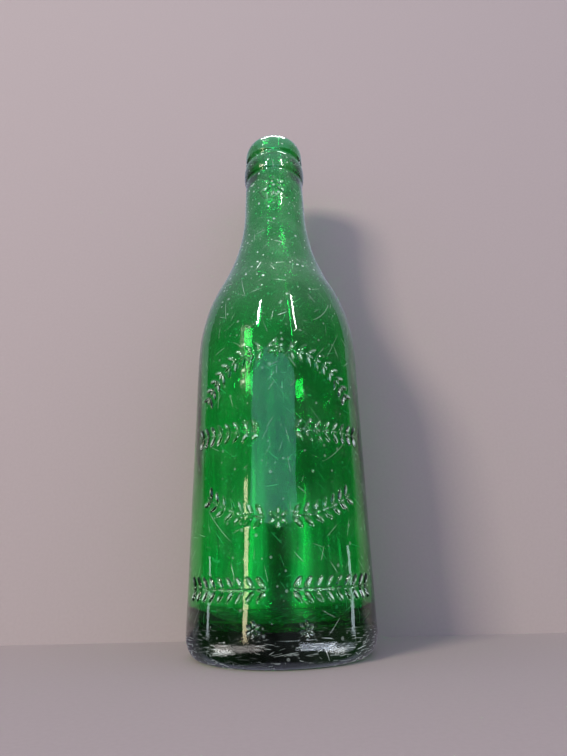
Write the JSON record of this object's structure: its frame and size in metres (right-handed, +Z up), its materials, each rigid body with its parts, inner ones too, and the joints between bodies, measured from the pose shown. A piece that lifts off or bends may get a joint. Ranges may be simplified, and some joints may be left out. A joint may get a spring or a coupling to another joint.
{
  "type": "soda bottle",
  "caption": "Thick green glass soda bottle: upright body with bands of raised ornament on its front, long sloping shoulder, slim neck, and a collar and rounded lip for a crown cap.",
  "frame": {"origin": "middle of the base, on the plane that the bottle stands on", "axes": "+Z up along the bottle's own axis, towards the mouth; -Y towards the front, the side with the bands of raised marks"},
  "size_m": [0.0616, 0.0622, 0.2089],
  "materials": {
    "green_glass": "emerald green glass, glossy, with fine scuffs, dust and moulded relief"
  },
  "bodies": {
    "root": {"glass_bottle": "green_glass"}
  },
  "joints": []
}
